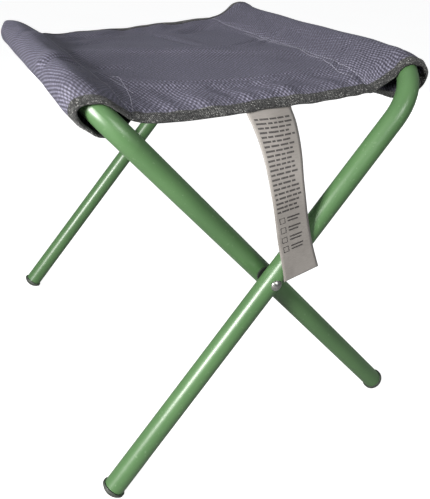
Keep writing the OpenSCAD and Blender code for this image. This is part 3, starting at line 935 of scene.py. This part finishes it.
def build_binding(label, side, replaced):
    """The tape folded over one long edge, and its stitches; side is -1 at the front."""
    strip = edge_strip(side)
    ring = np.stack([on_edge(strip, inset, height) for inset, height in TAPE_SECTION], 1)
    wobble = 0.14 * np.sin(np.arange(SECTION_ROWS) / 2.3)[:, None, None]
    ring = ring + wobble * (ring - ring.mean(1, keepdims=True)) * 0.25
    count = len(TAPE_SECTION)
    verts = ring.reshape(-1, 3)
    first = tuple(range(count))
    last = tuple(range(len(verts) - count, len(verts)))
    faces = grid_faces(SECTION_ROWS, count, closed=True, flip=side < 0)
    faces += [first[::-1], last] if side > 0 else [first, last[::-1]]
    along = lengths_along(strip[1][:, EDGE_EDGE_COLUMN])
    around = lengths_along(np.array(TAPE_SECTION))
    uvs = np.stack([np.repeat(along, count), np.tile(around, SECTION_ROWS)], 1)
    tape = mesh_object(f"{label}_binding", verts, faces, uvs, TAPE)
    fit_to_frame(tape, replaced)

    path = on_edge(strip, TAPE_STITCH_INSET, TAPE_STITCH_HEIGHT)
    up = on_edge(strip, TAPE_STITCH_INSET, TAPE_STITCH_HEIGHT + 1) - path
    stitch_row(f"{label}_binding_stitches", path, up, TAPE_THREAD,
               length=2.3, pitch=3.1, height=0.05)


# ---------------------------------------------------------------- the label
LABEL_WIDTH, LABEL_THICKNESS = 33.0, 0.35
# The label from the hem down: left x, right x, y, left z, right z, as seen from the front.
LABEL_STATIONS = np.array([
    (-13.5, 25.0, -153.5, 311.0, 311.6),
    (-13.5, 26.0, -155.5, 306.9, 307.0),
    (-11.5, 27.0, -161.0, 299.1, 299.3),
    (-10.0, 25.5, -169.0, 288.3, 289.6),
    (-9.5, 23.0, -178.0, 274.7, 277.3),
    (-9.5, 20.5, -186.0, 261.0, 263.9),
    (-8.0, 20.5, -190.9, 245.1, 249.2),
    (-5.0, 23.5, -191.1, 228.9, 233.0),
    (-2.0, 27.0, -191.1, 212.6, 217.7),
    (1.5, 31.0, -191.1, 197.3, 203.4),
    (4.5, 35.0, -191.1, 184.2, 191.4),
    (6.0, 38.0, -191.1, 175.5, 183.0),
])


def build_label():
    """The strip hanging from the front hem; returns its face, normals and lengths down it."""
    left_x, right_x, centre_y, left_z, right_z = catmull(LABEL_STATIONS, 8).T[..., None]
    rows, cols = len(left_x), 13
    w = np.linspace(0, 1, cols)
    # the curl and the ripple of the side edges die out down the label
    fade = np.clip((centre_y + 188) / 20, 0, 1)
    curl = 0.5 * (1 - np.cos(2 * math.pi * w))
    ripple = 1.1 * np.sin(np.linspace(0, 3.2 * math.pi, rows))[:, None] * (w - 0.5) ** 2 * 4
    middle = np.stack([
        left_x * (1 - w) + right_x * w,
        centre_y - curl * fade + ripple * fade,
        left_z * (1 - w) + right_z * w], -1)
    normal = unit(np.cross(np.gradient(middle, axis=0), np.gradient(middle, axis=1)))
    face, verts, faces = slab(middle, normal, LABEL_THICKNESS, flip=True)
    down = lengths_along(middle[:, cols // 2])
    uvs = np.stack([np.tile(w * LABEL_WIDTH, 2 * rows), np.tile(np.repeat(down, cols), 2)], 1)
    label = mesh_object("care_label_strip", verts, faces, uvs, LABEL)
    fit_to_frame(label, ("care_label",))
    return face, normal, down


MARGIN = 3.0
TEXT_ROWS, TEXT_START, TEXT_PITCH, TEXT_HEIGHT = 21, 9.0, 3.6, 1.5
SYMBOL_ROWS, SYMBOL_GAP, SYMBOL_PITCH = 4, 2.6, 6.0
# the four sides of a symbol's square: from and to across, from and to down
SYMBOL_SIDES = [(4, 9.4, 0, 0.5), (4, 9.4, 4.6, 5.1), (4, 4.5, 0, 5.1), (8.9, 9.4, 0, 5.1)]
SYMBOL_TEXT_LEFT = 12
SYMBOL_TEXT = [(9, 15, 0.4, 1.7), (6, 12, 3.2, 4.5)]   # shortest, longest, from and to down
BAR_STEP = 1.2                 # spacing of vertices along a bar
INK_LIFTS = (0.05, 0.12)       # underside and face of the ink over the label


def printed_bars():
    """The label's printing: bars as (from, to) across and (from, to) down the label, in mm."""
    random = np.random.RandomState(11)
    bars = []
    down = TEXT_START
    for _ in range(TEXT_ROWS):
        across = MARGIN
        end = LABEL_WIDTH - MARGIN - random.uniform(0, 6)
        while across < end - 1.5:
            word = random.uniform(2.4, 7.5)
            bars.append((across, min(across + word, end), down, down + TEXT_HEIGHT))
            across += word + random.uniform(0.8, 1.2)
        down += TEXT_PITCH
    for _ in range(SYMBOL_ROWS):
        down += SYMBOL_GAP
        bars += [(a, b, down + c, down + d) for a, b, c, d in SYMBOL_SIDES]
        for shortest, longest, c, d in SYMBOL_TEXT:
            right = SYMBOL_TEXT_LEFT + random.uniform(shortest, longest)
            bars.append((SYMBOL_TEXT_LEFT, right, down + c, down + d))
        down += SYMBOL_PITCH
    return bars


def print_label(face, normal, down):
    """Lays the printed bars on the label's face as thin raised films."""
    rows, cols = face.shape[:2]

    def label_point(across, distance, lift):
        i, part_i = split_index(np.interp(distance, down, np.arange(rows)), rows)
        j, part_j = split_index(across / LABEL_WIDTH * (cols - 1), cols)
        point, outwards = 0, 0
        for row, row_share in ((i, 1 - part_i), (i + 1, part_i)):
            for col, col_share in ((j, 1 - part_j), (j + 1, part_j)):
                point = point + row_share * col_share * face[row, col]
                outwards = outwards + row_share * col_share * normal[row, col]
        return point + unit(outwards) * lift

    verts, faces = [], []
    for left, right, top, bottom in printed_bars():
        count = max(2, int((right - left) / BAR_STEP) + 1)
        # first vertices of the four long edges: under top and bottom, face top and bottom
        a, b, c, d = (len(verts) + k * count for k in range(4))
        for lift in INK_LIFTS:
            for distance in (top, bottom):
                for across in np.linspace(left, right, count):
                    verts.append(label_point(across, distance, lift))
        for k in range(count - 1):
            faces.append((c + k, d + k, d + k + 1, c + k + 1))
            faces.append((a + k, a + k + 1, b + k + 1, b + k))
            faces.append((a + k, c + k, c + k + 1, a + k + 1))
            faces.append((b + k, b + k + 1, d + k + 1, d + k))
        faces.append((a, b, d, c))
        k = count - 1
        faces.append((a + k, c + k, d + k, b + k))
    verts = np.array(verts)
    ink = mesh_object("care_label_marks", verts, faces, None, INK, smooth_shade=False)
    fit_to_frame(ink)


# ---------------------------------------------------------------- stage, light and camera
def build_world():
    """White to the camera, and a dim cool light to everything else."""
    world = bpy.data.worlds.new("studio")
    bpy.context.scene.world = world
    net = Nodes(world)
    ambient = net.tree.nodes["Background"]
    ambient.inputs[0].default_value = (0.93, 0.96, 1.0, 1)
    ambient.inputs[1].default_value = 0.18
    seen = net.node("ShaderNodeBackground", {0: (1, 1, 1, 1)})
    is_camera = net.node("ShaderNodeLightPath").outputs["Is Camera Ray"]
    both = net.node("ShaderNodeMixShader",
                    {0: is_camera, 1: ambient.outputs[0], 2: seen.outputs[0]})
    net.feed(net.tree.nodes["World Output"].inputs[0], both.outputs[0])


def floor_material():
    """Pale and glowing to the camera; it throws back less light than it shows."""
    material, net = new_material("floor")
    bounce = 0.24
    cloud = net.noise(net.object_coords(), scale=3.0, detail=3.0)
    net.surface({
        "Base Color": net.ramp(cloud, [(0.2, srgb(170, 170, 169)), (0.8, srgb(178, 178, 177))]),
        "Roughness": 0.8,
        "Emission Color": (1, 1, 1, 1),
        "Emission Strength": 0.88,
    })
    dim = net.node("ShaderNodeBsdfDiffuse", {0: (bounce, bounce, bounce, 1)})
    is_camera = net.node("ShaderNodeLightPath").outputs["Is Camera Ray"]
    shown = net.tree.nodes["Principled BSDF"]
    both = net.node("ShaderNodeMixShader",
                    {0: is_camera, 1: dim.outputs[0], 2: shown.outputs[0]})
    net.feed(net.tree.nodes["Material Output"].inputs[0], both.outputs[0])
    return material


def build_floor():
    sides = 40
    radii = [400, 900, 1800, 3200, 6000]
    verts = [(0, 0, 0)]
    for radius in radii:
        for k in range(sides):
            angle = 2 * math.pi * k / sides
            verts.append((radius * math.cos(angle), radius * math.sin(angle), 0))
    faces = [(0, 1 + k, 1 + (k + 1) % sides) for k in range(sides)]
    for i in range(len(radii) - 1):
        for k in range(sides):
            a, b = 1 + i * sides + k, 1 + i * sides + (k + 1) % sides
            faces.append((a, a + sides, b + sides, b))
    mesh_object("floor", verts, faces, None, floor_material())


def area_light(name, location, target, size, power, color=(1, 1, 1), glossy=True):
    light = bpy.data.lights.new(name, "AREA")
    light.shape = "RECTANGLE"
    light.size, light.size_y = size
    light.energy = power
    light.color = color
    obj = bpy.data.objects.new(name, light)
    bpy.context.scene.collection.objects.link(obj)
    obj.location = location
    aim = Vector(target) - Vector(location)
    obj.rotation_euler = aim.to_track_quat("-Z", "Y").to_euler()
    if not glossy:
        obj.visible_glossy = False


def build_lights():
    area_light("key", location=(-0.82, -0.52, 0.56), target=(-0.08, -0.05, 0.28),
               size=(0.26, 0.34), power=17.5, color=(1.0, 0.99, 0.97))
    area_light("front", location=(0.15, -0.95, 0.8), target=(-0.05, -0.12, 0.28),
               size=(0.35, 0.35), power=3.2)
    area_light("top", location=(0.1, 0.2, 1.9), target=(0, 0, 0.25),
               size=(1.2, 1.2), power=1.2, color=(0.97, 0.98, 1.0))
    # low fills under the seat's plane, for the sides that face away from the camera
    area_light("right", location=(1.2, 0.35, 0.24), target=(0, 0, 0.2),
               size=(0.9, 0.4), power=6, color=(0.98, 0.99, 1.0), glossy=False)
    area_light("back", location=(-0.3, 1.4, 0.24), target=(0, 0, 0.2),
               size=(1.0, 0.4), power=6, color=(0.98, 0.99, 1.0), glossy=False)


def build_camera():
    camera = bpy.data.cameras.new("camera")
    obj = bpy.data.objects.new("camera", camera)
    bpy.context.scene.collection.objects.link(obj)
    bpy.context.scene.camera = obj
    camera.sensor_fit = "VERTICAL"
    camera.sensor_height = 36.0
    camera.lens = 45.309499
    camera.shift_x = -0.0201002004
    camera.shift_y = -0.098416834
    camera.clip_end = 50
    location = (-0.23144, -0.55991, 0.44067)
    forward = Vector((0.40557, 0.81844, -0.40702)).normalized()
    right = Vector((0.89956, -0.43639, 0.01887)).normalized()
    up = right.cross(forward).normalized()
    right = forward.cross(up).normalized()
    rows = [(right[i], up[i], -forward[i], location[i]) for i in range(3)]
    obj.matrix_world = Matrix(rows + [(0, 0, 0, 1)])


# ---------------------------------------------------------------- building it all
paint_cad_pieces()
cloth_upper, cloth_normal = build_cloth()
build_binding("front", -1, ("front_edge_binding", "outer_sleeve_end_bindings",
                            "inner_sleeve_end_bindings"))
build_binding("back", 1, ("back_edge_binding",))
stitch_seams(cloth_upper, cloth_normal)
for line_name, thread_radius, line_path in SEWN_LINES:
    sew_line(line_name, thread_radius, line_path, cloth_upper, cloth_normal)
print_label(*build_label())
build_world()
build_floor()
build_lights()
build_camera()

bpy.context.scene.view_settings.view_transform = "Standard"
bpy.context.scene.view_settings.look = "None"

bpy.context.view_layer.update()
